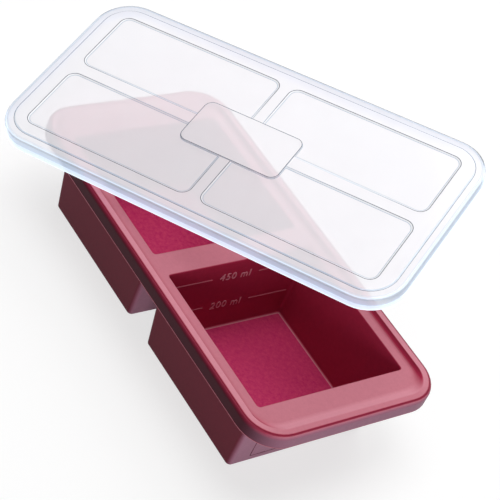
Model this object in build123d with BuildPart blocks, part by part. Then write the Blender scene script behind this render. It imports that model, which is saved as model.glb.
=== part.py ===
"""Two-cup silicone freezer tray with a steel ring in its rim and a clear lid, in millimetres.

+Z is up, +X runs along the tray and the origin is the middle of the footprint, on the surface
that the cups stand on. The lid is off: it hovers over one half of the tray, turned and tilted,
with its low side just over the rim.
"""

import os
from math import cos, radians, sin, tan

from build123d import *

# Cups: sizes at the mouth, which is level with the deck
cup_length = 107.0
cup_width = 110.0
cup_depth = 56.0
cup_draft = 4.8
cup_wall = 2.5
cup_base = 3.0
cup_inner_corner = 2.0
cup_outer_corner = 3.0
mouth_round = 0.8
floor_round = 1.5
base_round = 1.5

# Deck between and around the cups
bar_width = 18.0
side_deck = 7.2
end_deck = 15.0
deck_thickness = 3.0

# Rim: a bead around the deck, with a lip that slopes up from the deck and a band below it
lip_width = 6.5
lip_height = 3.0
lip_slope_side = 1.8
lip_slope_end = 5.5
band_drop = 7.5
rim_corner = 24.0
lip_round = 3.0
band_round = 0.8
lip_foot_share = 1.0
lip_crest_share = 0.5
bead_round_share = 0.45

# Steel ring moulded into the bead
ring_wire = 3.2
ring_clearance = 0.1

# Fill lines raised on the wall of each cup, open in the middle for their graduation
upper_fill_height = 43.5
lower_fill_height = 20.0
fill_line_width = 0.9
fill_line_rise = 0.4
fill_line_opening = 36.0
fill_line_corner_gap = 3.0

# Bare label frame engraved in one end wall, with sides that lean out as the cup's edges do
frame_width = 77.0
frame_height = 30.0
frame_corner = 2.0
frame_line = 0.8
frame_engraving = 0.5
frame_above_base = 5.0

# Lid: a flat flange on the lip, a skirt around the band and a raised middle
lid_clearance = 0.3
lid_wall = 1.1
lid_thickness = 1.4
skirt_depth = 8.6
skirt_bead = 0.4
skirt_bead_height = 3.6
shoulder_round = 1.8
flange_width = 6.5
lid_step = 0.8
ring_band_side = 8.2
ring_band_end = 10.2
panel_long_gap = 9.0
panel_cross_gap = 7.7
panel_corner = 7.0
panel_recess = 0.5
plate_length = 72.0
plate_width = 38.0
plate_corner = 6.0
plate_rise = 0.7
plate_round = 0.3

# Where the lid hovers
lid_shift_x = -46.5
lid_shift_y = 15.9
lid_tilt_x_angle = 20.7
lid_tilt_y_angle = -4.3
lid_turn_angle = 27.4
lid_rest_gap = 0.3

# Picking edges
pick_tolerance = 0.01

# Levels and sizes that follow from these
deck_height = cup_base + cup_depth
lip_top = deck_height + lip_height
band_foot = deck_height - band_drop
band_height = lip_height + band_drop
cup_pitch = cup_length + bar_width
cups_length = cup_pitch + cup_length
deck_length = cups_length + 2 * end_deck
deck_width = cup_width + 2 * side_deck
crest_length = deck_length + 2 * lip_slope_end
crest_width = deck_width + 2 * lip_slope_side
crest_corner = rim_corner - lip_width
deck_corner = crest_corner - lip_slope_side
rim_length = crest_length + 2 * lip_width
rim_width = crest_width + 2 * lip_width
lip_edge_round = min(lip_round, bead_round_share * lip_width)
wall_run = cup_wall / cos(radians(cup_draft))


def cup_size(level, wall):
    """Length and width of a cup at one level, with a wall added on each side."""
    inset = (deck_height - level) * tan(radians(cup_draft)) - wall
    return cup_length - 2 * inset, cup_width - 2 * inset


def flat_edges(edges, level, length, width, plane=Plane.XY):
    """Edges that lie flat at one level of a plane, within a length and width about its middle."""

    def lies_there(edge):
        span = plane.to_local_coords(edge).bounding_box()
        off_level = max(abs(span.min.Z - level), abs(span.max.Z - level))
        off_length = max(-span.min.X, span.max.X) - length / 2
        off_width = max(-span.min.Y, span.max.Y) - width / 2
        return max(off_level, off_length, off_width) < pick_tolerance

    return edges.filter_by(lies_there)


# Course of the steel ring, along the middle of the bead
with BuildSketch(Plane.XY.offset(lip_top - band_height / 2)) as ring_course:
    RectangleRounded(rim_length - lip_width, rim_width - lip_width, rim_corner - lip_width / 2)
ring_path = ring_course.sketch.face().outer_wire()
ring_start = Plane(origin=ring_path @ 0, z_dir=ring_path % 0)


def wall_plane(cup_middle, reach, level, lean):
    """Plane on a cup's wall across the tray, facing +X, with its X axis along Y."""
    return Plane(
        origin=(cup_middle + reach, 0, level),
        x_dir=(0, 1, 0),
        z_dir=(cos(radians(cup_draft)), 0, lean * sin(radians(cup_draft))),
    )


# Tray: rim, deck and both cups in one moulding
with BuildPart() as tray:
    with BuildSketch(Plane.XY.offset(band_foot)):
        RectangleRounded(rim_length, rim_width, rim_corner)
    extrude(amount=band_height)
    fillet(flat_edges(tray.edges(), lip_top, rim_length, rim_width), radius=lip_edge_round)
    fillet(flat_edges(tray.edges(), band_foot, rim_length, rim_width), radius=band_round)

    # The deck lies below the lip and leaves the bead hanging down around it
    with BuildSketch(Plane.XY.offset(deck_height)):
        RectangleRounded(deck_length, deck_width, deck_corner)
    with BuildSketch(Plane.XY.offset(lip_top)):
        RectangleRounded(crest_length, crest_width, crest_corner)
    loft(mode=Mode.SUBTRACT)
    fillet(
        flat_edges(tray.edges(), deck_height, deck_length, deck_width),
        radius=lip_foot_share * lip_height,
    )
    fillet(
        flat_edges(tray.edges(), lip_top, crest_length, crest_width),
        radius=lip_crest_share * lip_height,
    )
    with BuildSketch(Plane.XY.offset(band_foot)):
        RectangleRounded(crest_length, crest_width, crest_corner)
    extrude(amount=band_drop - deck_thickness, mode=Mode.SUBTRACT)

    # Outside of the cups
    for side in (-1, 1):
        for level in (0, deck_height):
            with BuildSketch(Plane.XY.offset(level)):
                with Locations((side * cup_pitch / 2, 0)):
                    RectangleRounded(*cup_size(level, wall_run), cup_outer_corner)
        loft()
    fillet(flat_edges(tray.edges(), 0, cups_length, cup_width), radius=base_round)

    # Inside of the cups
    for side in (-1, 1):
        for level in (cup_base, deck_height):
            with BuildSketch(Plane.XY.offset(level)):
                with Locations((side * cup_pitch / 2, 0)):
                    RectangleRounded(*cup_size(level, 0), cup_inner_corner)
        loft(mode=Mode.SUBTRACT)
    fillet(flat_edges(tray.edges(), cup_base, cups_length, cup_width), radius=floor_round)
    fillet(flat_edges(tray.edges(), deck_height, cups_length, cup_width), radius=mouth_round)

    # Fill lines, on the wall of each cup that faces +X
    for side in (-1, 1):
        cup_middle = side * cup_pitch / 2
        with BuildSketch(wall_plane(cup_middle, -cup_size(cup_base, 0)[0] / 2, cup_base, 1)):
            for height in (upper_fill_height, lower_fill_height):
                wall_width = cup_size(cup_base + height, 0)[1]
                line_length = (wall_width - fill_line_opening) / 2 - fill_line_corner_gap
                line_middle = (fill_line_opening + line_length) / 2
                up_wall = height / cos(radians(cup_draft))
                with Locations((-line_middle, up_wall), (line_middle, up_wall)):
                    Rectangle(line_length, fill_line_width)
        extrude(amount=fill_line_rise, both=True)

    # Label frame, on the outside of the end wall
    frame_top = frame_above_base + frame_height
    frame_top_width = frame_width + 2 * frame_height * tan(radians(cup_draft))
    with BuildSketch(wall_plane(cup_pitch / 2, cup_size(0, wall_run)[0] / 2, 0, -1)):
        with BuildLine():
            Polyline(
                (-frame_width / 2, frame_above_base),
                (frame_width / 2, frame_above_base),
                (frame_top_width / 2, frame_top),
                (-frame_top_width / 2, frame_top),
                close=True,
            )
        make_face()
        fillet(vertices(), radius=frame_corner)
        offset(amount=-frame_line, mode=Mode.SUBTRACT)
    extrude(amount=-frame_engraving, mode=Mode.SUBTRACT)

    # Channel in the bead that the steel ring fills
    with BuildSketch(ring_start):
        Circle(ring_wire / 2 + ring_clearance)
    sweep(path=ring_path, mode=Mode.SUBTRACT)

# Steel ring inside the rim
with BuildPart() as rim_ring:
    with BuildSketch(ring_start):
        Circle(ring_wire / 2)
    sweep(path=ring_path)

# Lid sizes: the skirt clears the band and the raised middle is stepped in from the edge
lid_length = rim_length + 2 * (lid_clearance + lid_wall)
lid_width = rim_width + 2 * (lid_clearance + lid_wall)
lid_corner = rim_corner + lid_clearance + lid_wall
middle_length = lid_length - 2 * flange_width
middle_width = lid_width - 2 * flange_width
middle_corner = lid_corner - flange_width
panel_length = (middle_length - 2 * ring_band_end - panel_cross_gap) / 2
panel_width = (middle_width - 2 * ring_band_side - panel_long_gap) / 2
middle_top = lid_thickness + lid_step

# The lid hovers at the height that leaves the rest gap where the foot of its low side
# crosses the rounded outer edge of the lip
lid_turns = (lid_tilt_x_angle, lid_tilt_y_angle, lid_turn_angle)
lid_axes = Plane(Location((lid_shift_x, lid_shift_y, 0), lid_turns))


def rim_crossing(half_width):
    """Height at which a line along the foot of the low side crosses the middle of that edge."""
    foot = lid_axes.from_local_coords(Vector(0, -half_width, -skirt_depth))
    run = (lip_edge_round / 2 - rim_width / 2 - foot.Y) / lid_axes.x_dir.Y
    return foot.Z + run * lid_axes.x_dir.Z


lowest_crossing = min(rim_crossing(lid_width / 2 + skirt_bead), rim_crossing(lid_width / 2 - lid_wall))
lid_hover = lip_top + lid_rest_gap - lowest_crossing
lid_plane = Plane(
    origin=(lid_shift_x, lid_shift_y, lid_hover), x_dir=lid_axes.x_dir, z_dir=lid_axes.z_dir
)

# Lid: level 0 of its plane is the underside that sits on the lip
with BuildPart() as lid:
    with BuildSketch(lid_plane.offset(-skirt_depth)):
        RectangleRounded(lid_length, lid_width, lid_corner)
    extrude(amount=skirt_depth + lid_thickness)
    fillet(
        flat_edges(lid.edges(), lid_thickness, lid_length, lid_width, lid_plane),
        radius=shoulder_round,
    )
    with BuildSketch(lid_plane.offset(-skirt_depth)):
        RectangleRounded(lid_length + 2 * skirt_bead, lid_width + 2 * skirt_bead, lid_corner + skirt_bead)
    extrude(amount=skirt_bead_height)
    with BuildSketch(lid_plane):
        RectangleRounded(middle_length, middle_width, middle_corner)
    extrude(amount=middle_top)

    # Hollow for the rim, and a shallower one under the raised middle
    with BuildSketch(lid_plane.offset(-skirt_depth)):
        RectangleRounded(lid_length - 2 * lid_wall, lid_width - 2 * lid_wall, lid_corner - lid_wall)
    extrude(amount=skirt_depth, mode=Mode.SUBTRACT)
    with BuildSketch(lid_plane):
        RectangleRounded(
            middle_length - 2 * lid_wall, middle_width - 2 * lid_wall, middle_corner - lid_wall
        )
    extrude(amount=lid_step, mode=Mode.SUBTRACT)

    # Four sunk panels, with a raised plate over their inner corners
    with BuildSketch(lid_plane.offset(middle_top)):
        with GridLocations(panel_length + panel_cross_gap, panel_width + panel_long_gap, 2, 2):
            RectangleRounded(panel_length, panel_width, panel_corner)
    extrude(amount=-panel_recess, mode=Mode.SUBTRACT)
    with BuildSketch(lid_plane.offset(middle_top - panel_recess)):
        RectangleRounded(plate_length, plate_width, plate_corner)
    extrude(amount=panel_recess + plate_rise)
    fillet(
        flat_edges(lid.edges(), middle_top + plate_rise, plate_length, plate_width, lid_plane),
        radius=plate_round,
    )

pieces = {"tray": tray, "rim_ring": rim_ring, "lid": lid}
os.makedirs("parts", exist_ok=True)
for name, piece in pieces.items():
    piece.part.label = name
    export_step(piece.part, f"parts/{name}.step")
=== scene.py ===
"""Looks of a two-cup silicone freezer tray and its clear lid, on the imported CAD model's sizes.

The tray and the lid stand for their CAD nodes as smooth surfaces: rounded rectangles carried
through rows of sizes and levels. Lengths are in millimetres until a mesh is made.
"""

import math

import bmesh
import bpy
import numpy as np
from mathutils import Matrix, Vector
from mathutils.geometry import delaunay_2d_cdt


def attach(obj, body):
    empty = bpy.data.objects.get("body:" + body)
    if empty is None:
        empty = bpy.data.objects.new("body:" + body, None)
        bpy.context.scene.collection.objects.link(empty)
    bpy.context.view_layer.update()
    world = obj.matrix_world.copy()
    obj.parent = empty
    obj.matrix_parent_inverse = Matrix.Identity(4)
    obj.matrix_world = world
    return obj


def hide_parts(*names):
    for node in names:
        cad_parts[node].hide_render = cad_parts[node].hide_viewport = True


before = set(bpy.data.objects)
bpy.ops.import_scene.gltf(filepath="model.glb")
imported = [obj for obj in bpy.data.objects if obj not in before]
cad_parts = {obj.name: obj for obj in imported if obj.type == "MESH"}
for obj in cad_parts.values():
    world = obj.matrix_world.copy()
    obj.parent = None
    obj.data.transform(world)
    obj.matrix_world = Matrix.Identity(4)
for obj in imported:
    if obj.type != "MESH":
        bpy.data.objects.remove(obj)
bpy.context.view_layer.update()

MM = 0.001
MERGE = 0.002
SMOOTH_ANGLE = math.radians(50)

# Cups
CUP_LENGTH, CUP_WIDTH, CUP_DEPTH, CUP_BASE = 107.0, 110.0, 56.0, 3.0
CUP_WALL, BAR_WIDTH = 2.5, 18.0
DRAFT = math.radians(4.8)
INNER_CORNER, OUTER_CORNER = 2.0, 3.0
MOUTH_ROUND, FLOOR_ROUND, BASE_ROUND = 0.8, 1.5, 1.5
# Where the rows of a cup's straight walls start and end: off the deck and the floor on its inside, and
# off the standing level and the deck's underside on its outside
INNER_WALL_MARGIN, OUTER_WALL_START, OUTER_WALL_END = 4.0, 6.0, 0.6
# Deck and rim
SIDE_DECK, END_DECK, DECK_THICKNESS = 7.2, 15.0, 3.0
LIP_WIDTH, LIP_HEIGHT, LIP_SLOPE_SIDE, LIP_SLOPE_END = 6.5, 3.0, 1.8, 5.5
BAND_DROP, RIM_CORNER, LIP_ROUND, BAND_ROUND, BEAD_ROUND = 7.5, 24.0, 2.9, 0.8, 0.5
BAND_START, BAND_END, DECK_MARGIN = 1.2, 0.8, 2.0
FOOT_SHARE, CREST_SHARE = 0.3, 0.2
LIP_GROOVE_TURN, LIP_GROOVE_SPREAD, LIP_GROOVE_DEPTH = 0.71, 0.07, 0.25
RING_CHANNEL = 1.7
# Fill lines and their graduations; the type's extrusion, bevel and merging are shares of its own size
FILL_HEIGHTS = (43.5, 20.0)
FILL_MARKS = ("450 ml", "200 ml")
FILL_LINE_WIDTH, FILL_LINE_RISE, FILL_LINE_OPENING, FILL_LINE_CORNER_GAP = 0.9, 0.4, 36.0, 3.0
MARK_CAP, MARK_SPACING = 5.6, 1.15
MARK_EXTRUSION, MARK_BEVEL, MARK_MERGE, MARK_CURVE_STEPS = 0.03, 0.015, 1e-4, 6
# Label frame
FRAME_WIDTH, FRAME_HEIGHT, FRAME_CORNER, FRAME_ABOVE_BASE = 77.0, 30.0, 2.0, 5.0
FRAME_LINE, FRAME_ENGRAVING, FRAME_GROOVE_POWER = 0.8, 0.5, 0.6
# Lid
LID_CLEARANCE, LID_WALL, LID_THICKNESS = 0.3, 1.1, 1.4
SKIRT_DEPTH, SKIRT_BEAD, SKIRT_BEAD_HEIGHT, SHOULDER_ROUND = 8.6, 0.4, 3.6, 1.8
FLANGE_WIDTH, LID_STEP = 6.5, 0.8
RING_SIDE, RING_END, PANEL_LONG_GAP, PANEL_CROSS_GAP = 8.2, 10.2, 9.0, 7.7
PANEL_CORNER, PANEL_RECESS, PANEL_BORDER = 7.0, 0.5, 1.3
PLATE_LENGTH, PLATE_WIDTH, PLATE_CORNER, PLATE_RISE, PLATE_ROUND = 72.0, 38.0, 6.0, 0.7, 0.3
LID_PLACE = (-46.5, 15.9, 105.9)
LID_TURNS = (20.7, -4.3, 27.4)
# The lid's small edges: around its hollow, along the skirt's foot and bead and up to its band, from the
# shoulder to the flange's ridge, and along the plate's edge
HOLLOW_ROUND, HOLLOW_SHADE, COVE = 0.15, 0.4, 0.6
FOOT_CHAMFER, SKIRT_ROUND, BEAD_SHADE, SKIRT_BAND = 0.25, 0.3, 0.35, 1.0
RIDGE_GAP, PLATE_LINE = 0.4, 0.15

# What follows from these
DECK = CUP_BASE + CUP_DEPTH
LIP_TOP = DECK + LIP_HEIGHT
BAND_FOOT = DECK - BAND_DROP
UNDERSIDE = DECK - DECK_THICKNESS
CUP_PITCH = CUP_LENGTH + BAR_WIDTH
DECK_LENGTH = CUP_PITCH + CUP_LENGTH + 2 * END_DECK
DECK_WIDTH = CUP_WIDTH + 2 * SIDE_DECK
RIM_LENGTH = DECK_LENGTH + 2 * (LIP_SLOPE_END + LIP_WIDTH)
RIM_WIDTH = DECK_WIDTH + 2 * (LIP_SLOPE_SIDE + LIP_WIDTH)
DECK_CORNER = RIM_CORNER - LIP_WIDTH - LIP_SLOPE_SIDE
LID_LENGTH = RIM_LENGTH + 2 * (LID_CLEARANCE + LID_WALL)
LID_WIDTH = RIM_WIDTH + 2 * (LID_CLEARANCE + LID_WALL)
LID_CORNER = RIM_CORNER + LID_CLEARANCE + LID_WALL
MIDDLE_TOP = LID_THICKNESS + LID_STEP

# Divisions of a loop: each corner's arc, and the sides along and across the tray
ARC, ALONG, ACROSS = 10, 16, 10
# Divisions of a profile: the tray's roundings, a cup's mouth and walls, the lip's rounding and slope, the
# lid's roundings and its plate's, a fill line's ends and length, and the sides of a round section
ROUND_STEPS, MOUTH_STEPS, WALL_ROWS, LIP_STEPS, SLOPE_STEPS = 8, 6, 8, 24, 8
LID_STEPS, PLATE_STEPS, LINE_END_STEPS, LINE_STEPS, ROUND_SIDES = 6, 5, 4, 11, 16

# Painted light on the tray, a point attribute: 2 is a painted glow on the cup floors, 1 a painted pale
# sheen, 0 the plain burgundy and -1 painted shade on the band and in grooves. The outer walls are darker,
# partly their own tone and partly painted shade, and the fill lines and marks carry painted glints
WALL_SHADE_PAINT, BAND_SHADE_PAINT, DECK_SHEEN_PAINT, FLOOR_GLOW_PAINT, GROOVE_SHADE_PAINT = -0.6, -1.0, 0.68, 2.0, -1.0
MARK_GLINT_PAINT, LINE_GLINT_PAINT, GROOVE_GAIN = 0.9, 0.4, 1.6
# Painted light row by row: a painted highlight up the band's lower rounding, the deck's painted sheen fading
# in at a cup's mouth, and a touch of painted shade at the wall's foot, then a painted highlight along the
# floor's rounding into the floor's painted glow
BAND_FOOT_LIGHT_PAINT = (0.0, 0.0, 0.1, 0.2, 0.4, 0.7, 1.0, 1.0, 1.0)
MOUTH_LIGHT_PAINT = (DECK_SHEEN_PAINT, 0.6, 0.3, 0.05, 0.0, 0.0, 0.0)
FLOOR_EDGE_LIGHT_PAINT = (-0.1, -0.1, 0.0, 0.1, 0.3, 0.55, 0.75, 1.2, FLOOR_GLOW_PAINT)
# Painted light over the lip's rounding, its crest and the foot of its slope, as shares of the way and the
# value there. The sides have painted shade on the edge, a painted pale sheen on the lip and painted shade
# on the slope
SIDE_LIGHT_PAINT = (
    ((0, 0.25, 0.45, 0.65, 0.82, 0.9, 1), (BAND_SHADE_PAINT, -0.85, -0.6, -0.45, -0.4, 0.3, 0.9)),
    ((0, 0.2, 0.5, 1), (0.95, 0.5, -0.3, -0.4)),
    ((0, 0.125, 1), (0.0, 0.1, 0.5)),
)
# The ends have a painted highlight on the roll, a painted dark line of shade in the lip's groove, and a
# painted pale sheen on the lip and slope
END_LIGHT_PAINT = (
    ((0, 0.2, 0.38, 0.5, 0.57, 0.63, 0.8, 0.9, 1), (-0.6, 0.4, 0.6, 0.7, 0.2, -0.45, -0.4, 0.5, 0.65)),
    ((0, 0.5, 1), (0.65, 1, 1)),
    ((0, 1), (1, DECK_SHEEN_PAINT)),
)
# A painted mauve sheen, standing for a reflection, on the faces at the tray's two ends, from 0 to 1, which
# fades at the top and the foot of a wall and over the lip's rounding
WALL_MAUVE_SHEEN, BAND_MAUVE_SHEEN, WALL_FADE = 1.0, 0.85, 0.3
LIP_MAUVE_SHEEN = ((0, 0.3, 0.5, 0.6), (BAND_MAUVE_SHEEN, 0.6, 0.2, 0))

# Tint of the lid's plastic: -1 a painted glow on edges, 0 clear film, 0.5 blue-grey edges, partly the thick
# plastic's own tone and partly painted shade, and 1 dark lines of painted shade
CLEAR, HOLLOW_TINT, COVE_TINT, SKIRT_TINT = 0.0, 0.4, 0.6, -0.3
FOOT_TINT, BEAD_TINT, BEAD_TOP_TINT = -1.0, -0.7, -0.65
# The plate's side turns from faint painted shade at its foot to a dark painted line of shade at its edge
PLATE_FOOT_TINT, PLATE_EDGE_TINT = 0.2, 1.0
# Tints up the skirt above its bead: a painted glow on the near and far sides, fading upwards, and at the
# +X end a painted blue-grey shade above a weaker painted glow
SKIRT_TINTS = ((-0.6, -0.6, -0.2), (-0.32, -0.32, 0.35), (SKIRT_TINT, SKIRT_TINT, 0.5))
# Tints over the shoulder: on the near side a painted dark line below a painted glowing highlight, on the far
# side a painted dark outline
SHOULDER_TINTS = ((0.56, 0.3), (0.2, 0.6), (-0.6, 1.0), (-0.7, 1.0), (-0.3, 0.8), (CLEAR, CLEAR))
# The way that the far side faces in the lid's plane, and how its painted tints come in about there
FAR_SIDE, FAR_BASE, FAR_GAIN = (-0.25, 0.97), 0.3, 1.5

# Rows of the ridge on the lid's flange and of the step up to its middle: distance in from the ridge's
# line or the flange's inner edge, rise above the flange, tint on the near side and on the far side. The
# tints paint dark lines of shade along the ridge and the step's foot, and a painted glow up the step's face
# on the near side, where the far side is painted dark
RIDGE_ROWS = (
    (-0.2, 0.0, CLEAR, CLEAR),
    (-0.1, 0.06, 0.55, 0.7),
    (0.1, 0.06, 0.55, 0.7),
    (0.2, 0.0, CLEAR, CLEAR),
)
STEP_ROWS = (
    (-0.65, 0.0, CLEAR, CLEAR),
    (-0.55, 0.0, 0.95, 0.95),
    (-0.3, 0.03, 0.95, 0.95),
    (-0.15, 0.1, -0.3, 0.6),
    (0.0, 0.3, -0.3, 0.3),
    (0.15, LID_STEP - 0.25, -0.3, CLEAR),
    (0.35, LID_STEP - 0.08, -0.2, CLEAR),
    (0.5, LID_STEP - 0.02, CLEAR, CLEAR),
    (0.7, LID_STEP, CLEAR, CLEAR),
    (0.85, LID_STEP, CLEAR, CLEAR),
)
# Rows down a sunk panel's border: inset from the panel's outline, distance off the plate, drop below the
# middle, tint, and the tint of the plate's side there; the dark lines at the border's brink and foot are
# painted shade
PANEL_ROWS = (
    (-0.3, 0.0, 0.0, CLEAR, CLEAR),
    (-0.18, 0.0, 0.0, 1.0, 0.2),
    (0.17, 0.0, 0.04, 1.0, 0.2),
    (0.3, 0.0, 0.1, 0.05, 0.2),
    (PANEL_BORDER - 0.3, 0.0, PANEL_RECESS - 0.1, 0.05, 0.3),
    (PANEL_BORDER - 0.12, 0.0, PANEL_RECESS - 0.04, 0.75, 0.7),
    (PANEL_BORDER + 0.12, 0.2, PANEL_RECESS, 0.75, 0.8),
    (PANEL_BORDER + 0.3, 0.35, PANEL_RECESS, CLEAR, CLEAR),
)


# Surfaces

def rounded_loop(length, width, radius, level, middle=0.0):
    """Rounded rectangle about (middle, 0), anticlockwise from the start of its +X -Y corner:
    corner centre + radius * (cos, sin), with the straight sides divided evenly."""
    turn = np.linspace(0, math.pi / 2, ARC + 1)
    runs = []
    for k, (sx, sy) in enumerate(((1, -1), (1, 1), (-1, 1), (-1, -1))):
        angle = turn + (k - 1) * math.pi / 2
        centre = np.array((sx * (length / 2 - radius), sy * (width / 2 - radius)))
        runs.append(centre + radius * np.stack((np.cos(angle), np.sin(angle)), 1))
    loop = []
    for k in range(4):
        share = np.linspace(0, 1, (ALONG if k % 2 else ACROSS) + 1)[1:-1, None]
        start, end = runs[k][-1], runs[(k + 1) % 4][0]
        loop += [runs[k], start + share * (end - start)]
    flat = np.concatenate(loop)
    return np.column_stack((flat[:, 0] + middle, flat[:, 1], np.full(len(flat), level)))


def loops(sizes, middle=0.0):
    """One rounded rectangle for each row of (length, width, radius, level)."""
    return np.stack([rounded_loop(*row, middle) for row in sizes])


def facing(axis):
    """How far each point of a loop faces along X (0) or Y (1): that part of its outward normal, from a
    circle's points less those of a smaller circle."""
    out = rounded_loop(4, 4, 2, 0) - rounded_loop(2, 2, 1, 0)
    return out[:, axis] / np.linalg.norm(out, axis=1)


def skin(rows, skip=None, closed=True):
    """Quads between neighbouring rows of points; skip is a (row, column) mask of quads left out."""
    count, around = rows.shape[:2]
    columns = around if closed else around - 1
    row, column = np.meshgrid(np.arange(count - 1), np.arange(columns), indexing="ij")
    here = row * around + column
    beside = row * around + (column + 1) % around
    quads = np.stack((here, beside, beside + around, here + around), -1)
    keep = np.ones(row.shape, bool) if skip is None else ~skip
    return rows.reshape(-1, rows.shape[-1]), quads[keep]


def inside(points, loop):
    """Even-odd test: whether a ray along +X from each point crosses the loop an odd number of times."""
    x, y = points[:, None, 0], points[:, None, 1]
    (ax, ay), (bx, by) = loop.T, np.roll(loop, -1, 0).T
    with np.errstate(divide="ignore", invalid="ignore"):
        crossing = ((ay > y) != (by > y)) & (x < (bx - ax) * (y - ay) / (by - ay) + ax)
    return crossing.sum(1) % 2 == 1


def flat_fill(outline, holes, flip=False):
    """Triangles of a flat region between loops in its own plane (a Delaunay net of their points)."""
    parts = [outline, *holes]
    points = np.concatenate(parts)
    edges, first = [], 0
    for part in parts:
        here = np.arange(len(part))
        edges.append(np.stack((here, np.roll(here, -1)), 1) + first)
        first += len(part)
    inside_edges, reach = 1, 1e-6
    flat, _, faces, *_ = delaunay_2d_cdt(
        [Vector(p) for p in points], np.concatenate(edges).tolist(), [], inside_edges, reach
    )
    flat, faces = np.array([tuple(p) for p in flat]), np.array(faces)
    middles = flat[faces].mean(1)
    keep = np.ones(len(faces), bool)
    for hole in holes:
        keep &= ~inside(middles, hole)
    faces = faces[keep]
    return flat, faces[:, ::-1] if flip else faces


def shaded(rows, *shades):
    """Rows of points with the shades that each has, one more column for each shade."""
    columns = [np.broadcast_to(shade, rows.shape[:-1])[..., None] for shade in shades]
    return np.concatenate((rows, *columns), -1)


def level_fill(outline, holes, level, shades, flip=False):
    """A flat region filled at one level, with the same shades all over."""
    flat, faces = flat_fill(outline, holes, flip)
    return shaded(np.column_stack((flat, np.full(len(flat), level))), *shades), faces


def fillet_rows(radius, turn, steps):
    """Rounding between a level plane and a face that turns away from it: how far each row stands
    out from the edge, T - r sin(a), and how far it is below the plane, r (1 - cos(a))."""
    angle = np.linspace(0, turn, steps + 1)
    return radius * math.tan(turn / 2) - radius * np.sin(angle), radius * (1 - np.cos(angle))


# Meshes

def merge_doubles(mesh, reach):
    """Points closer than the reach become one, so neighbouring patches share their edges."""
    solid = bmesh.new()
    solid.from_mesh(mesh)
    bmesh.ops.remove_doubles(solid, verts=solid.verts, dist=reach)
    solid.to_mesh(mesh)
    solid.free()


def add_attribute(mesh, name, values):
    """A number at each point of a mesh, for its material to read."""
    attribute = mesh.attributes.new(name, "FLOAT", "POINT")
    attribute.data.foreach_set("value", values.astype(np.float32))


def new_object(name, data):
    """An object at the origin that holds a mesh, curve, lamp or camera, in the scene."""
    made = bpy.data.objects.new(name, data)
    bpy.context.scene.collection.objects.link(made)
    return made


def make_mesh(name, patches, attributes):
    """One smooth mesh from patches of (points, faces), their shared points merged. The columns after the
    third go into point attributes, and big faces lead the normals, so flat areas stay flat."""
    first, points, faces = 0, [], []
    for patch_points, patch_faces in patches:
        points.append(patch_points)
        faces += (patch_faces + first).tolist()
        first += len(patch_points)
    points = np.concatenate(points)
    mesh = bpy.data.meshes.new(name)
    mesh.from_pydata((points[:, :3] * MM).tolist(), [], faces)
    for attribute, values in zip(attributes, points[:, 3:].T):
        add_attribute(mesh, attribute, values)
    merge_doubles(mesh, MERGE * MM)
    mesh.shade_smooth()
    mesh.set_sharp_from_angle(angle=SMOOTH_ANGLE)
    piece = new_object(name, mesh)
    weighted = piece.modifiers.new("face_weighted_normals", "WEIGHTED_NORMAL")
    weighted.keep_sharp = True
    return piece


# Tray

def rim_rows():
    """Rows around the rim, from the bead's inner face under the deck, down and out, up the band, over the
    lip and down its slope onto the deck. Edges are quarter circles, the lip's with a fine groove along it,
    a bell curve about LIP_GROOVE_TURN. The slope is two quadratic curves about its crest and its foot."""
    quarter = np.linspace(0, math.pi / 2, ROUND_STEPS + 1)
    turn = np.linspace(0, 1, LIP_STEPS + 1)
    girth = LIP_ROUND - LIP_GROOVE_DEPTH * np.exp(-((turn - LIP_GROOVE_TURN) / LIP_GROOVE_SPREAD) ** 2)
    inset = np.concatenate((
        [LIP_WIDTH],
        LIP_WIDTH - BEAD_ROUND + BEAD_ROUND * np.cos(quarter),
        BAND_ROUND - BAND_ROUND * np.sin(quarter),
        [0.0, 0.0],
        LIP_ROUND - girth * np.cos(turn * math.pi / 2),
    ))
    level = np.concatenate((
        [UNDERSIDE],
        BAND_FOOT + BEAD_ROUND - BEAD_ROUND * np.sin(quarter),
        BAND_FOOT + BAND_ROUND - BAND_ROUND * np.cos(quarter),
        [BAND_FOOT + BAND_START, LIP_TOP - LIP_ROUND - BAND_END],
        LIP_TOP - LIP_ROUND + girth * np.sin(turn * math.pi / 2),
    ))
    rows = np.stack((RIM_LENGTH - 2 * inset, RIM_WIDTH - 2 * inset, RIM_CORNER - inset, level), 1)
    t = np.linspace(0, 1, SLOPE_STEPS + 1)
    swing = (1 - t) ** 2 - t ** 2
    run = np.concatenate((1 + CREST_SHARE * swing, FOOT_SHARE * swing))
    rise = np.concatenate((1 - CREST_SHARE * t ** 2, FOOT_SHARE * (1 - t) ** 2))
    slope = np.stack((DECK_LENGTH + 2 * LIP_SLOPE_END * run, DECK_WIDTH + 2 * LIP_SLOPE_SIDE * run,
                      DECK_CORNER + LIP_SLOPE_SIDE * run, DECK + LIP_HEIGHT * rise), 1)
    # A last row on the deck, where the lip's shade ends
    margin = slope[-1] - np.array((2 * DECK_MARGIN, 2 * DECK_MARGIN, DECK_MARGIN, 0))
    return np.concatenate((rows, slope, margin[None]))


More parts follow.
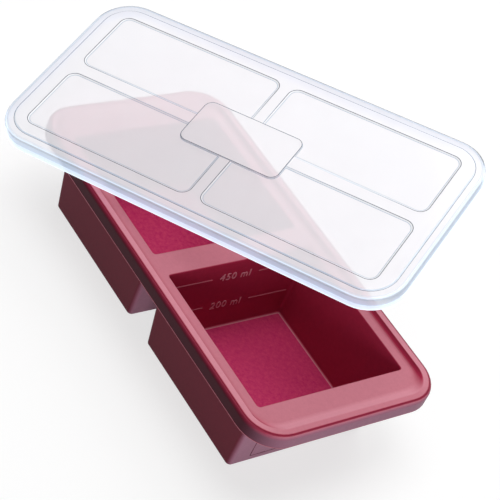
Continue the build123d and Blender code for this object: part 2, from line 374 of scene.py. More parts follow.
def rim_light_paint():
    """Painted light of the rim's rows on its sides and on its ends, and the painted mauve sheen on its ends:
    a painted highlight on the band's lower rounding, the band in painted shade, then the side and end
    tables, with the sheen fading up the lip."""
    turn, t = np.linspace(0, 1, LIP_STEPS + 1), np.linspace(0, 1, SLOPE_STEPS + 1)
    lower = np.concatenate(([0.0] * (ROUND_STEPS + 2), BAND_FOOT_LIGHT_PAINT, [BAND_SHADE_PAINT] * 2))
    sides, ends = (
        np.concatenate((
            lower, np.interp(turn, *lip), np.interp(t, *crest), np.interp(t, *foot), [DECK_SHEEN_PAINT]))
        for lip, crest, foot in (SIDE_LIGHT_PAINT, END_LIGHT_PAINT)
    )
    mauve_sheen = np.zeros(len(ends))
    mauve_sheen[len(lower) - 2:len(lower)] = BAND_MAUVE_SHEEN
    mauve_sheen[len(lower):len(lower) + len(turn)] = np.interp(turn, *LIP_MAUVE_SHEEN)
    return sides, ends, mauve_sheen


def cup_rows(wall, out, level, corner):
    """Rows of a drafted cup: its size at each level, plus a wall, plus what a rounding stands out."""
    lean = (level - DECK) * math.tan(DRAFT) + wall
    return np.stack((CUP_LENGTH + 2 * (lean + out), CUP_WIDTH + 2 * (lean + out), corner + out, level), 1)


def inner_rows():
    """Inside of a cup: the mouth's rounding, the drafted wall and the rounding onto the floor, with the
    painted light of each row."""
    turn = math.pi / 2 - DRAFT
    out, drop = fillet_rows(MOUTH_ROUND, turn, MOUTH_STEPS)
    floor_out, floor_rise = fillet_rows(FLOOR_ROUND, turn, ROUND_STEPS)
    wall_levels = np.linspace(DECK - INNER_WALL_MARGIN, CUP_BASE + INNER_WALL_MARGIN, WALL_ROWS)
    level = np.concatenate((DECK - drop, wall_levels, CUP_BASE + floor_rise[::-1]))
    # A rounding's stand-out is measured from the edge, so the wall's own lean comes off again
    out = np.concatenate((out + drop * math.tan(DRAFT), 0 * wall_levels,
                          -(floor_out + floor_rise * math.tan(DRAFT))[::-1]))
    light_paint = np.concatenate((MOUTH_LIGHT_PAINT, 0 * wall_levels, FLOOR_EDGE_LIGHT_PAINT))
    return cup_rows(0.0, out, level, INNER_CORNER), light_paint


def outer_rows():
    """Outside of a cup: the rounding from its base and the drafted wall up to the deck's underside."""
    out, rise = fillet_rows(BASE_ROUND, math.pi / 2 - DRAFT, ROUND_STEPS)
    wall_levels = np.linspace(OUTER_WALL_START, UNDERSIDE - OUTER_WALL_END, WALL_ROWS + 1)
    level = np.concatenate((rise, wall_levels, [UNDERSIDE]))
    out = np.concatenate((-(out + rise * math.tan(DRAFT)), 0 * wall_levels, [0.0]))
    return cup_rows(CUP_WALL / math.cos(DRAFT), out, level, OUTER_CORNER)


def frame_loop(inset):
    """Outline of the label frame in its wall's plane, (across, up the wall), with rounded corners
    that keep their centres as the line is inset: centre + radius * (cos, sin)."""
    low, high = FRAME_ABOVE_BASE + FRAME_CORNER, FRAME_ABOVE_BASE + FRAME_HEIGHT - FRAME_CORNER
    reach = FRAME_WIDTH / 2 - FRAME_CORNER / math.cos(DRAFT)
    centres = [(reach + (up - FRAME_ABOVE_BASE) * math.tan(DRAFT), up) for up in (low, high)]
    centres += [(-across, up) for across, up in centres[::-1]]
    turns = np.array((-math.pi / 2, -DRAFT, math.pi / 2, math.pi + DRAFT, 3 * math.pi / 2))
    starts, ends = turns[:-1, None], turns[1:, None]
    angle = starts + (ends - starts) * np.linspace(0, 1, ROUND_STEPS + 1)
    arcs = np.stack((np.cos(angle), np.sin(angle)), -1) * (FRAME_CORNER - inset)
    return (np.array(centres)[:, None] + arcs).reshape(-1, 2)


def on_wall(flat, depth, origin_x, lean):
    """Points of a wall's plane, (across, up the wall), at a depth below its surface; lean is 1 on a
    cup's inside, which faces up, and -1 on its outside."""
    up = np.array((-lean * math.sin(DRAFT), 0, math.cos(DRAFT)))
    out = np.array((math.cos(DRAFT), 0, lean * math.sin(DRAFT)))
    depth = np.broadcast_to(depth, flat.shape[:-1])[..., None]
    across = np.array((0.0, 1.0, 0.0))
    return np.array((origin_x, 0, 0)) + flat[..., :1] * across + flat[..., 1:] * up - depth * out


def labelled_wall(rows):
    """The end wall with the label frame: a U-shaped groove, depth * sin(pi t) ** FRAME_GROOVE_POWER
    across its line, with the flat wall around it and the bare field inside it."""
    base_x = CUP_PITCH / 2 + CUP_LENGTH / 2 - DECK * math.tan(DRAFT) + CUP_WALL / math.cos(DRAFT)
    side = rows[:, ARC:ARC + ACROSS + 1]
    edge = np.concatenate((side[0], side[1:, -1], side[-1, -2::-1], side[-2:0:-1, 0]))
    edge = np.stack((edge[:, 1], edge[:, 2] / math.cos(DRAFT)), 1)
    share = np.linspace(0, 1, ROUND_STEPS + 1)
    groove = np.stack([frame_loop(FRAME_LINE * t) for t in share])
    patches = []
    for outline, holes in ((edge, [groove[0]]), (groove[-1], [])):
        flat, faces = flat_fill(outline, holes)
        patches.append((shaded(on_wall(flat, 0, base_x, -1), WALL_SHADE_PAINT, WALL_MAUVE_SHEEN), faces))
    # Painted shade deepens into the groove while the painted mauve sheen fades there
    sunk = np.sin(math.pi * share).clip(0)[:, None] ** FRAME_GROOVE_POWER
    deep = (GROOVE_GAIN * sunk).clip(0, 1)
    light_paint, mauve_sheen = WALL_SHADE_PAINT + (GROOVE_SHADE_PAINT - WALL_SHADE_PAINT) * deep, WALL_MAUVE_SHEEN * (1 - deep)
    line = shaded(on_wall(groove, FRAME_ENGRAVING * sunk, base_x, -1), light_paint, mauve_sheen)
    return patches + [skin(line)]


def marked_wall_x(cup_middle):
    """Where the wall with the fill lines would meet the cup's floor."""
    return cup_middle - CUP_LENGTH / 2 + CUP_DEPTH * math.tan(DRAFT)


def fill_line(cup_middle, height, side):
    """A rounded rib on the wall: an ellipse carried along the line, drawn in to a point at its ends
    as sqrt(1 - s^2) over the last half width."""
    wall_width = CUP_WIDTH - 2 * (CUP_DEPTH - height) * math.tan(DRAFT)
    length = (wall_width - FILL_LINE_OPENING) / 2 - FILL_LINE_CORNER_GAP
    half, straight = FILL_LINE_WIDTH / 2, length - FILL_LINE_WIDTH
    end = np.sin(np.linspace(-math.pi / 2, math.pi / 2, 2 * LINE_END_STEPS + 1)) * half
    between = np.linspace(0, straight, LINE_STEPS + 1)[1:-1]
    along = np.concatenate((end[:LINE_END_STEPS + 1], between, straight + end[LINE_END_STEPS:]))
    past = np.maximum(-along, along - straight).clip(0) / half
    girth = np.sqrt((1 - past ** 2).clip(0))[:, None]
    angle = np.linspace(0, 2 * math.pi, ROUND_SIDES + 1)[:-1]
    up = height / math.cos(DRAFT) + girth * np.cos(angle) * half
    across = np.broadcast_to((FILL_LINE_OPENING / 2 + half + along)[:, None], up.shape) * side
    rise = girth * np.sin(angle) * FILL_LINE_RISE
    points = on_wall(np.stack((across, up), -1), -rise, marked_wall_x(cup_middle), 1)
    # Painted glints along the rib
    points, faces = skin(shaded(points + np.array((0, 0, CUP_BASE)), LINE_GLINT_PAINT, 0.0))
    return points, faces[:, ::-1] if side > 0 else faces


def cup_patches(side, end):
    """The cup on one side of the bar (1 is +X) with its fill lines, and the outlines of its mouth in the
    deck and of its outside under the deck; end is how far each point of a loop belongs to an end."""
    middle = side * CUP_PITCH / 2
    sizes, light_paint = inner_rows()
    inner = shaded(loops(sizes, middle), light_paint[:, None], 0.0)
    outer = loops(outer_rows(), middle)
    level = outer[:, :, 2]
    # The outer walls darken, partly their own tone and partly painted shade, and take the painted mauve sheen
    # on the ends, both faded out at the foot and under the deck
    light_painting = (level / WALL_FADE).clip(0, 1) * (level < UNDERSIDE - WALL_FADE)
    outer = shaded(outer, light_painting * WALL_SHADE_PAINT, light_painting * WALL_MAUVE_SHEEN * end)
    patches = []
    skip = np.zeros((len(outer) - 1, outer.shape[1]), bool)
    if side > 0:
        skip[ROUND_STEPS:-1, ARC:ARC + ACROSS] = True
        patches += labelled_wall(outer[ROUND_STEPS:-1])
    patches += [skin(inner), skin(outer, skip)]
    for loop, flip in ((inner[-1], False), (outer[0], True)):
        patches.append(level_fill(loop[:, :2], [], loop[0, 2], (loop[0, 3], 0.0), flip))
    patches += [fill_line(middle, height, s) for height in FILL_HEIGHTS for s in (-1, 1)]
    return patches, inner[0, :, :2], outer[-1, :, :2]


def ring_channel():
    """The channel that the ring lies in: a circle carried round the rim, as a shell inside the bead."""
    angle = np.linspace(0, 2 * math.pi, ROUND_SIDES + 1)
    out, middle = RING_CHANNEL * np.cos(angle), LIP_WIDTH / 2
    level = LIP_TOP - (LIP_HEIGHT + BAND_DROP) / 2 - RING_CHANNEL * np.sin(angle)
    rows = np.stack((RIM_LENGTH - 2 * middle + 2 * out, RIM_WIDTH - 2 * middle + 2 * out,
                     RIM_CORNER - middle + out, level), 1)
    return skin(shaded(loops(rows), 0.0, 0.0))


def make_tray():
    """The silicone moulding in one shell: the rim, both cups and the deck, with the ring's channel."""
    # The rim's painted light turns from the side table to the end table, and its painted mauve sheen comes
    # in, as its loop turns to face along X
    end = facing(0) ** 2
    side_light_paint, end_light_paint, end_mauve_sheen = (light_painting[:, None] for light_painting in rim_light_paint())
    rim = shaded(loops(rim_rows()), end_light_paint * end + side_light_paint * (1 - end), end_mauve_sheen * end)
    patches, mouths, outsides = [skin(rim)], [], []
    for side in (-1, 1):
        cup, mouth, outside = cup_patches(side, end)
        patches += cup
        mouths.append(mouth)
        outsides.append(outside)
    # The deck carries the painted pale sheen all over
    patches.append(level_fill(rim[-1, :, :2], mouths, DECK, (DECK_SHEEN_PAINT, 0.0)))
    patches.append(level_fill(rim[0, :, :2], outsides, UNDERSIDE, (0.0, 0.0), True))
    patches.append(ring_channel())
    return make_mesh("silicone_tray", patches, ("light_paint", "mauve_sheen"))


def marking(name, text, cup_middle, height):
    """Raised graduation in the opening of a fill line: plain type made a mesh, scaled to its cap height
    and set along +Y on the cup's wall."""
    lettering = bpy.data.curves.new(name, "FONT")
    lettering.body = text
    lettering.align_x = "CENTER"
    lettering.space_character = MARK_SPACING
    lettering.extrude = MARK_EXTRUSION
    lettering.bevel_depth = MARK_BEVEL
    lettering.resolution_u = MARK_CURVE_STEPS
    source = new_object(name, lettering)
    shown = source.evaluated_get(bpy.context.evaluated_depsgraph_get())
    mesh = bpy.data.meshes.new_from_object(shown)
    bpy.data.objects.remove(source)
    merge_doubles(mesh, MARK_MERGE)
    points = np.empty(3 * len(mesh.vertices), np.float32)
    mesh.vertices.foreach_get("co", points)
    points = points.reshape(-1, 3).astype(float)
    points[:, 1] -= points[:, 1].mean()
    points *= MARK_CAP / np.ptp(points[:, 1])
    points[:, 1] += height / math.cos(DRAFT)
    placed = on_wall(points[:, :2], -points[:, 2], marked_wall_x(cup_middle), 1) + np.array((0, 0, CUP_BASE))
    mesh.vertices.foreach_set("co", (placed * MM).ravel())
    # Painted glints on the lettering
    add_attribute(mesh, "light_paint", np.full(len(placed), MARK_GLINT_PAINT))
    mesh.update()
    return new_object(name, mesh)


# Lid

LID_TURN = np.array(Matrix.Rotation(math.radians(LID_TURNS[0]), 3, "X")
                    @ Matrix.Rotation(math.radians(LID_TURNS[1]), 3, "Y")
                    @ Matrix.Rotation(math.radians(LID_TURNS[2]), 3, "Z"))


def lid_place(points):
    """Points of the lid's own frame, whose level 0 sits on the lip, carried to where it hovers."""
    return np.column_stack((points[:, :3] @ LID_TURN.T + np.array(LID_PLACE), points[:, 3:]))


def lid_rows():
    """Rows from the ceiling under the raised middle, out and down inside the skirt, around its foot, up
    outside it, over the shoulder and the flange and up the step: (inset, level, tint on the near side, on
    the far side and on the +X end). The skirt's edges and the shoulder are quarter circles."""
    quarter = np.linspace(0, math.pi / 2, LID_STEPS + 1)
    foot, bead = -SKIRT_DEPTH, -SKIRT_DEPTH + SKIRT_BEAD_HEIGHT
    hollow = FLANGE_WIDTH + LID_WALL
    rows = [
        (hollow, LID_STEP, CLEAR),
        (hollow, HOLLOW_ROUND, HOLLOW_TINT),
        (hollow - HOLLOW_ROUND, 0.0, HOLLOW_TINT),
        (hollow - HOLLOW_SHADE, 0.0, CLEAR),
        (LID_WALL + COVE, 0.0, CLEAR),
        (LID_WALL + COVE / 4, -COVE / 4, COVE_TINT),
        (LID_WALL, -COVE, SKIRT_TINT),
        (LID_WALL, foot + 2 * FOOT_CHAMFER, SKIRT_TINT),
        (LID_WALL, foot + FOOT_CHAMFER, SKIRT_TINT),
    ]
    for cut in FOOT_CHAMFER * np.sin(quarter[2::2]):
        rows.append((LID_WALL - cut, foot + FOOT_CHAMFER - cut, FOOT_TINT))
    edge = SKIRT_ROUND - SKIRT_BEAD
    for a in quarter:
        level = foot + SKIRT_ROUND - SKIRT_ROUND * np.cos(a)
        rows.append((edge - SKIRT_ROUND * np.sin(a), level, FOOT_TINT))
    rows += [
        (-SKIRT_BEAD, foot + 2 * SKIRT_ROUND, FOOT_TINT),
        (-SKIRT_BEAD, foot + 3 * SKIRT_ROUND, BEAD_TINT),
        (-SKIRT_BEAD, bead - BEAD_SHADE, BEAD_TINT),
    ]
    for a in quarter[1:]:
        level = bead - SKIRT_ROUND + SKIRT_ROUND * np.sin(a)
        rows.append((edge - SKIRT_ROUND * np.cos(a), level, BEAD_TOP_TINT))
    shoulder = LID_THICKNESS - SHOULDER_ROUND
    for level, tints in zip((bead + SKIRT_ROUND, bead + SKIRT_BAND, shoulder), SKIRT_TINTS):
        rows.append((0.0, level, *tints))
    for a, tints in zip(quarter[1:], SHOULDER_TINTS):
        level = shoulder + SHOULDER_ROUND * np.sin(a)
        rows.append((SHOULDER_ROUND - SHOULDER_ROUND * np.cos(a), level, *tints))
    for line, profile in ((SHOULDER_ROUND + RIDGE_GAP, RIDGE_ROWS), (FLANGE_WIDTH, STEP_ROWS)):
        rows += [(line + inward, LID_THICKNESS + rise, *tints) for inward, rise, *tints in profile]
    # A row without tints of its own for the far side or the end has the near side's there
    return np.array([(*row, row[2], row[2])[:5] for row in rows])


def lid_edge():
    """Loops of the lid's edge rows. A point has its row's near tint, blended to the far one as it turns to
    the far side and to the end's by the square of how far it faces along +X."""
    rows = lid_rows()
    inset, level = rows[:, 0], rows[:, 1]
    sizes = np.stack((LID_LENGTH - 2 * inset, LID_WIDTH - 2 * inset, LID_CORNER - inset, level), 1)
    far = (FAR_BASE + FAR_GAIN * (FAR_SIDE[0] * facing(0) + FAR_SIDE[1] * facing(1))).clip(0, 1)
    end = facing(0).clip(0) ** 2
    near_tint, far_tint, end_tint = rows[:, 2:3], rows[:, 3:4], rows[:, 4:]
    return shaded(loops(sizes), near_tint + (far_tint - near_tint) * far + (end_tint - near_tint) * end)


def panel_course(inset, clear):
    """Open outline of the +X +Y panel where the plate leaves it bare, from a distance off the plate's long
    side round to its short end: a rounded rectangle, inset with its corner centres kept."""
    left, low = PANEL_CROSS_GAP / 2 + inset, PANEL_LONG_GAP / 2 + inset
    right = LID_LENGTH / 2 - FLANGE_WIDTH - RING_END - inset
    high = LID_WIDTH / 2 - FLANGE_WIDTH - RING_SIDE - inset
    radius = PANEL_CORNER - inset
    turn = np.linspace(0, math.pi / 2, ARC + 1)
    runs = [np.array([(left, PLATE_WIDTH / 2 + clear)])]
    for start, x, y in ((math.pi, left + radius, high - radius), (math.pi / 2, right - radius, high - radius),
                        (0.0, right - radius, low + radius)):
        angle = start - turn
        runs.append(np.stack((x + radius * np.cos(angle), y + radius * np.sin(angle)), 1))
    runs.append(np.array([(PLATE_LENGTH / 2 + clear, low)]))
    return np.concatenate(runs)


def plate_course(inset, panel_inset):
    """Quarter of the plate's outline, from its short end round the corner to its long side, between
    the places where the panel's outline meets it."""
    x, y, radius = PLATE_LENGTH / 2 - inset, PLATE_WIDTH / 2 - inset, PLATE_CORNER - inset
    angle = np.linspace(0, math.pi / 2, ARC + 1)
    arc = np.stack((x - radius + radius * np.cos(angle), y - radius + radius * np.sin(angle)), 1)
    start, end = (x, PANEL_LONG_GAP / 2 + panel_inset), (PANEL_CROSS_GAP / 2 + panel_inset, y)
    return np.concatenate(([start], arc, [end]))


def with_level(flat, level, tint):
    """Rows of flat points with a level and a tint each."""
    return np.concatenate((flat, np.broadcast_to(np.array((level, tint)), flat.shape[:-1] + (2,))), -1)


def panel_walls():
    """Rows across the +X +Y panel's border, from the middle's top down to the panel's floor."""
    return np.stack([with_level(panel_course(inset, clear)[::-1], MIDDLE_TOP - drop, tint)
                     for inset, clear, drop, tint, _ in PANEL_ROWS])


def plate_sides():
    """Rows up a quarter of the plate's side, from the panel's floor over a quarter circle to its top."""
    brink, top = PANEL_ROWS[0][0], MIDDLE_TOP + PLATE_RISE
    # Inset of the plate, inset of the panel there, level and tint
    rise = [(-clear, inset, MIDDLE_TOP - drop, tint) for inset, clear, drop, _, tint in PANEL_ROWS[::-1]]
    for a in np.linspace(0, math.pi / 2, PLATE_STEPS + 1):
        tint = PLATE_FOOT_TINT + (PLATE_EDGE_TINT - PLATE_FOOT_TINT) * np.sin(a)
        level = top - PLATE_ROUND + PLATE_ROUND * np.sin(a)
        rise.append((PLATE_ROUND - PLATE_ROUND * np.cos(a), brink, level, tint))
    rise.append((PLATE_ROUND + PLATE_LINE, brink, top, PLATE_EDGE_TINT))
    rise.append((PLATE_ROUND + 2 * PLATE_LINE, brink, top, CLEAR))
    return np.stack([with_level(plate_course(inset, panel_inset), level, tint)
                     for inset, panel_inset, level, tint in rise])


def mirrored(points, sx, sy):
    """Points of the +X +Y quarter carried to another quarter."""
    return points * np.array((sx, sy, 1, 1))


def make_lid():
    """The clear moulding in one shell: its edge rows, the flat ring and ribs, four sunk panels and
    the raised plate that covers their inner corners."""
    rim, walls, plate = lid_edge(), panel_walls(), plate_sides()
    patches = [skin(rim), level_fill(rim[0, :, :2], [], LID_STEP, (CLEAR,), True)]
    floor_outline = np.concatenate((walls[-1, :, :2], plate[0, -2:0:-1, :2]))
    floor = level_fill(floor_outline, [], MIDDLE_TOP - PANEL_RECESS, (CLEAR,))
    hole = []
    for sx, sy in ((1, 1), (-1, 1), (-1, -1), (1, -1)):
        turned = sx * sy < 0
        for points, faces in (skin(walls, closed=False), skin(plate, closed=False), floor):
            patches.append((mirrored(points, sx, sy), faces[:, ::-1] if turned else faces))
        course = mirrored(walls[0], sx, sy)[:, :2]
        hole.append(course[::-1] if turned else course)
    patches.append(level_fill(rim[-1, :, :2], [np.concatenate(hole)], MIDDLE_TOP, (CLEAR,)))
    # Sides of the plate on the ribs, and its flat top
    upper = plate[len(PANEL_ROWS) - 1:]
    for sign in (-1, 1):
        end, side = mirrored(upper[:, 0], sign, 1), mirrored(upper[:, -1], 1, sign)
        across = mirrored(end, 1, -sign), mirrored(end, 1, sign)
        along = mirrored(side, sign, 1), mirrored(side, -sign, 1)
        patches += [skin(np.stack(course, 1), closed=False) for course in (across, along)]
    crown = plate[-1, :, :2]
    crown = np.concatenate((crown, (crown * (-1, 1))[::-1], crown * (-1, -1), (crown * (1, -1))[::-1]))
    patches.append(level_fill(crown, [], MIDDLE_TOP + PLATE_RISE, (CLEAR,)))
    return make_mesh("clear_lid", [(lid_place(points), faces) for points, faces in patches], ("tint",))


# Materials

# Sizes of their patterns
CLOUD_SIZE, GRAIN_SIZE, GRAIN_DEPTH, HAZE_SIZE, WIRE_GRAIN_SIZE = 3.0, 0.7, 0.05, 25.0, 0.4
# Darker and lighter cloud of the plain burgundy and of the painted pale sheen, painted glow and painted
# mauve sheen, and the tone of the painted shade
SILICONE_TONES = {
    "polished": ("#9c2844", "#a82c48"),
    "pale_sheen": ("#d18997", "#d68f9c"),
    "glowing": ("#b8265f", "#cd426c"),
    "mauve": ("#bd829b", "#c58aa4"),
}
SHADE_PAINT_TONE = "#44101f"
# The lid's veil, thinner and thicker, its blue edges, its painted dark lines of shade and its edges' painted
# glow
VEIL_TONE, HAZE_TONE, EDGE_TONE, LINE_TONE, GLOW_PAINT_TONE = "#f7f6fb", "#fbfafe", "#c6d9ee", "#2b2d34", "#e2e9f2"
# How much of the lid is seen: clear film, blue edges, and what a painted dark line or a painted glowing edge
# adds
FILM_ALPHA, EDGE_ALPHA, LINE_ALPHA, GLOW_PAINT_ALPHA = 0.53, 0.68, 0.27, 0.3
# How soon a painted glowing edge turns blue, how bright its painted glow is, and how much of the lid's veil
# is left in its shadow
GLOW_PAINT_BLUE, GLOW_PAINT_STRENGTH, SHADOW_SHARE = 3.0, 0.9, 0.25


def linear(colour):
    """sRGB hex to linear RGBA."""
    c = np.array([int(colour[i:i + 2], 16) for i in (1, 3, 5)]) / 255
    c = np.where(c <= 0.04045, c / 12.92, ((c + 0.055) / 1.055) ** 2.4)
    return (*c.tolist(), 1.0)


def add(tree, kind, sockets=None, **settings):
    """Adds a node, sets its properties and fills its sockets with values or other nodes' outputs."""
    made = tree.nodes.new(kind)
    for key, value in settings.items():
        setattr(made, key, value)
    for key, value in (sockets or {}).items():
        if isinstance(value, bpy.types.NodeSocket):
            tree.links.new(value, made.inputs[key])
        else:
            made.inputs[key].default_value = value
    return made


def new_material(name):
    """An empty node material, its tree and its object coordinates."""
    material = bpy.data.materials.new(name)
    material.use_nodes = True
    material.node_tree.nodes.clear()
    place = add(material.node_tree, "ShaderNodeTexCoord")
    return material, material.node_tree, place.outputs["Object"]


def give(piece, material):
    """Makes a material the only one of a piece."""
    piece.data.materials.clear()
    piece.data.materials.append(material)


def silicone():
    """Moulded platinum-cured silicone: satin burgundy from the polished mould, cloudy close up. One point
    attribute paints light and shade into the colour: a pale pink sheen on the deck and lip, a glow on the
    floors, shade on the band and in grooves, and darker walls, partly their own tone and partly painted
    shade. A second paints a mauve sheen, standing for a reflection, over the end faces."""
    material, tree, place = new_material("burgundy_silicone")
    light_paint, mauve_sheen = (add(tree, "ShaderNodeAttribute", attribute_name=name).outputs["Fac"]
                    for name in ("light_paint", "mauve_sheen"))
    cloud = add(tree, "ShaderNodeTexNoise", {
        "Vector": place, "Scale": 1 / (CLOUD_SIZE * MM), "Detail": 8.0, "Roughness": 0.8})
    spread = add(tree, "ShaderNodeMapRange", {
        "Value": cloud.outputs["Fac"], "From Min": 0.35, "From Max": 0.65})
    tones = {}
    for light_painting, (dark, light) in SILICONE_TONES.items():
        clouded = add(tree, "ShaderNodeMix", {
            "Factor": spread.outputs["Result"], "A": linear(dark), "B": linear(light)}, data_type="RGBA")
        tones[light_painting] = clouded.outputs["Result"]
    colour_layers = []
    # Painted light mixed into the colour: the pale sheen, the glow, the shade and then the mauve sheen
    for none, full, tone in ((0.0, 1.0, tones["pale_sheen"]), (1.0, 2.0, tones["glowing"]),
                             (0.0, -1.0, linear(SHADE_PAINT_TONE))):
        share = add(tree, "ShaderNodeMapRange", {"Value": light_paint, "From Min": none, "From Max": full})
        colour_layers.append((share.outputs["Result"], tone))
    colour_layers.append((mauve_sheen, tones["mauve"]))
    colour = tones["polished"]
    for share, tone in colour_layers:
        layered = add(tree, "ShaderNodeMix", {"Factor": share, "A": colour, "B": tone}, data_type="RGBA")
        colour = layered.outputs["Result"]
    # The mould's own grain is finer: it is drawn coarse enough to show
    grain = add(tree, "ShaderNodeTexNoise", {"Vector": place, "Scale": 1 / (GRAIN_SIZE * MM), "Detail": 2.0})
    bump = add(tree, "ShaderNodeBump", {
        "Height": grain.outputs["Fac"], "Strength": 0.15, "Distance": GRAIN_DEPTH * MM})
    rough = add(tree, "ShaderNodeMapRange", {"Value": light_paint, "To Min": 0.4, "To Max": 0.58})
    shader = add(tree, "ShaderNodeBsdfPrincipled", {
        "Base Color": colour, "Roughness": rough.outputs["Result"], "IOR": 1.43,
        "Specular IOR Level": 0.1, "Normal": bump.outputs["Normal"]})
    add(tree, "ShaderNodeOutputMaterial", {"Surface": shader.outputs["BSDF"]})
    return material


def clear_plastic():
    """Injection-moulded clear polypropylene: thin, glossy and a little milky, with a blue-white veil. The
    tint attribute makes thick edges blue, partly as painted shade, paints dark lines of shade on the steps
    and the far edge, and paints a glow onto the edges by emission."""
    material, tree, place = new_material("clear_polypropylene")
    tint = add(tree, "ShaderNodeAttribute", attribute_name="tint")
    haze = add(tree, "ShaderNodeTexNoise", {"Vector": place, "Scale": 1 / (HAZE_SIZE * MM), "Detail": 3.0})
    edge, line, painted_glow = (
        add(tree, "ShaderNodeMapRange", {
            "Value": tint.outputs["Fac"], "From Min": none, "From Max": full}).outputs["Result"]
        for none, full in ((0.0, 0.5), (0.5, 1.0), (0.0, -1.0))
    )
    blue = add(tree, "ShaderNodeMath", {0: painted_glow, 1: GLOW_PAINT_BLUE, 2: edge},
               operation="MULTIPLY_ADD", use_clamp=True)
    colour_layers = ((haze.outputs["Fac"], HAZE_TONE), (blue.outputs["Value"], EDGE_TONE), (line, LINE_TONE))
    colour = linear(VEIL_TONE)
    for share, tone in colour_layers:
        layered = add(tree, "ShaderNodeMix", {
            "Factor": share, "A": colour, "B": linear(tone)}, data_type="RGBA")
        colour = layered.outputs["Result"]
    film = add(tree, "ShaderNodeMapRange", {"Value": edge, "To Min": FILM_ALPHA, "To Max": EDGE_ALPHA})
    alpha = film.outputs["Result"]
    for share, more in ((line, LINE_ALPHA), (painted_glow, GLOW_PAINT_ALPHA)):
        summed = add(tree, "ShaderNodeMath", {0: share, 1: more, 2: alpha}, operation="MULTIPLY_ADD")
        alpha = summed.outputs["Value"]
    ray = add(tree, "ShaderNodeLightPath")
    kept = add(tree, "ShaderNodeMapRange", {
        "Value": ray.outputs["Is Shadow Ray"], "To Min": 1.0, "To Max": SHADOW_SHARE})
    seen = add(tree, "ShaderNodeMath", {0: alpha, 1: kept.outputs["Result"]}, operation="MULTIPLY")
    # Painted glow: emission on the edges where the tint is below 0
    glow = add(tree, "ShaderNodeMath", {0: painted_glow, 1: GLOW_PAINT_STRENGTH}, operation="MULTIPLY")
    rough = add(tree, "ShaderNodeMapRange", {"Value": haze.outputs["Fac"], "To Min": 0.1, "To Max": 0.16})
    shader = add(tree, "ShaderNodeBsdfPrincipled", {
        "Base Color": colour, "Roughness": rough.outputs["Result"], "IOR": 1.49,
        "Emission Color": linear(GLOW_PAINT_TONE), "Emission Strength": glow.outputs["Value"],
        "Alpha": seen.outputs["Value"]})
    add(tree, "ShaderNodeOutputMaterial", {"Surface": shader.outputs["BSDF"]})
    return material


def drawn_steel():
    """Drawn spring-steel wire, sealed inside the rim: grey metal with a fine, uneven polish."""
    material, tree, place = new_material("drawn_steel_wire")
    grain = add(tree, "ShaderNodeTexNoise", {
        "Vector": place, "Scale": 1 / (WIRE_GRAIN_SIZE * MM), "Detail": 2.0})
    rough = add(tree, "ShaderNodeMapRange", {"Value": grain.outputs["Fac"], "To Min": 0.25, "To Max": 0.42})
    shader = add(tree, "ShaderNodeBsdfPrincipled", {
        "Base Color": linear("#a9abb0"), "Metallic": 1.0, "Roughness": rough.outputs["Result"]})
    add(tree, "ShaderNodeOutputMaterial", {"Surface": shader.outputs["BSDF"]})
    return material


# Pieces

rubber = silicone()
tray = make_tray()
give(tray, rubber)
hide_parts("tray")
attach(tray, "tray")

for cup, cup_middle in (("far", -CUP_PITCH / 2), ("near", CUP_PITCH / 2)):
    for place, height, text in zip(("upper", "lower"), FILL_HEIGHTS, FILL_MARKS):
        mark = marking(f"{place}_mark_{cup}", text, cup_middle, height)
        give(mark, rubber)
        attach(mark, "tray")

lid = make_lid()
give(lid, clear_plastic())
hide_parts("lid")
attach(lid, "lid")

give(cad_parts["rim_ring"], drawn_steel())

# Stage: a pale floor, soft lamps, a white surround and the camera, in metres and watts

FLOOR_REACH, PAPER_LIFT, SKY_FILL = 4.0, 0.7, 0.1
CAMERA_PLACE = Vector((540.8, -609.6, 743.1)) * MM
CAMERA_RIGHT = Vector((0.506, 0.7985, 0.326))
CAMERA_DOWN = Vector((0.7001, -0.1596, -0.6959))
CAMERA_AHEAD = Vector((-0.5037, 0.5804, -0.6399))
FOCAL_PIXELS, IMAGE_PIXELS = 1700, 500
SENSOR_WIDTH, CLIP_END = 36, 20


def seen_rays(tree):
    """1 on the rays that show the background: the camera's own, reflected and refracted ones."""
    ray = add(tree, "ShaderNodeLightPath")
    seen = ray.outputs["Is Camera Ray"]
    for other in ("Is Glossy Ray", "Is Transmission Ray"):
        either = add(tree, "ShaderNodeMath", {0: seen, 1: ray.outputs[other]}, operation="MAXIMUM")
        seen = either.outputs["Value"]
    return seen


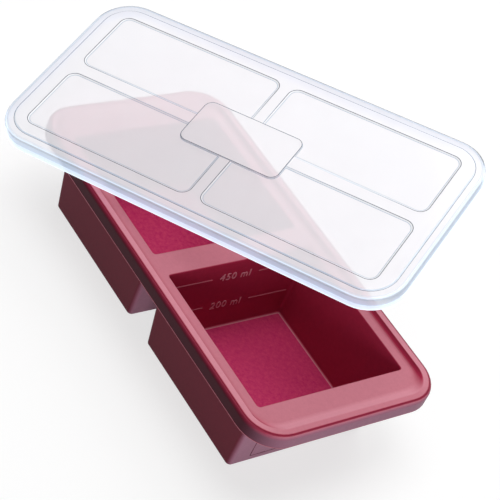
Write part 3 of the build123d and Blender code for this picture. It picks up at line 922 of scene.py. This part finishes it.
def white_paper():
    """Matt white paper: grey enough to hold a shadow, and lifted to white where it is seen."""
    material, tree, _ = new_material("white_paper")
    lift = add(tree, "ShaderNodeMath", {0: seen_rays(tree), 1: PAPER_LIFT}, operation="MULTIPLY")
    glow = add(tree, "ShaderNodeEmission", {"Strength": lift.outputs["Value"]})
    shade = add(tree, "ShaderNodeBsdfDiffuse", {"Color": linear("#9a9a9a")})
    both = add(tree, "ShaderNodeAddShader", {0: shade.outputs["BSDF"], 1: glow.outputs["Emission"]})
    add(tree, "ShaderNodeOutputMaterial", {"Surface": both.outputs["Shader"]})
    return material


def softbox(name, place, aim, width, height, power):
    """An area lamp at a place, facing a point."""
    lamp = bpy.data.lights.new(name, "AREA")
    lamp.shape = "RECTANGLE"
    lamp.size, lamp.size_y = width, height
    lamp.energy = power
    box = new_object(name, lamp)
    box.location = place
    box.rotation_euler = (Vector(aim) - Vector(place)).to_track_quat("-Z", "Y").to_euler()


corners = [(x * FLOOR_REACH, y * FLOOR_REACH, 0) for x, y in ((-1, -1), (1, -1), (1, 1), (-1, 1))]
floor_mesh = bpy.data.meshes.new("floor")
floor_mesh.from_pydata(corners, [], [(0, 1, 2, 3)])
floor = new_object("floor", floor_mesh)
give(floor, white_paper())

softbox("back_softbox", (-0.5, 0.9, 1.1), (0, 0, 0.06), 1.2, 1.2, 11)
softbox("top_softbox", (-0.1, -0.05, 1.5), (0, 0, 0.06), 1.0, 1.0, 13)
softbox("end_softbox", (1.2, 0.25, 0.14), (0, 0, 0.05), 0.9, 0.25, 1.3)
softbox("side_softbox", (1.0, -0.95, 0.25), (0, 0, 0.08), 0.8, 0.4, 5.5)

world = bpy.data.worlds.new("studio")
world.use_nodes = True
sky = world.node_tree
sky.nodes.clear()
strength = add(sky, "ShaderNodeMapRange", {"Value": seen_rays(sky), "To Min": SKY_FILL, "To Max": 1.0})
white = add(sky, "ShaderNodeBackground", {"Color": linear("#ffffff"), "Strength": strength.outputs["Result"]})
add(sky, "ShaderNodeOutputWorld", {"Surface": white.outputs["Background"]})
bpy.context.scene.world = world

lens = bpy.data.cameras.new("camera")
lens.sensor_width = SENSOR_WIDTH
lens.lens = SENSOR_WIDTH * FOCAL_PIXELS / IMAGE_PIXELS
lens.clip_end = CLIP_END
camera = new_object("camera", lens)
axes = Matrix((CAMERA_RIGHT, -CAMERA_DOWN, -CAMERA_AHEAD)).transposed()
camera.matrix_world = Matrix.Translation(CAMERA_PLACE) @ axes.to_4x4()
bpy.context.scene.camera = camera
bpy.context.scene.view_settings.view_transform = "Standard"
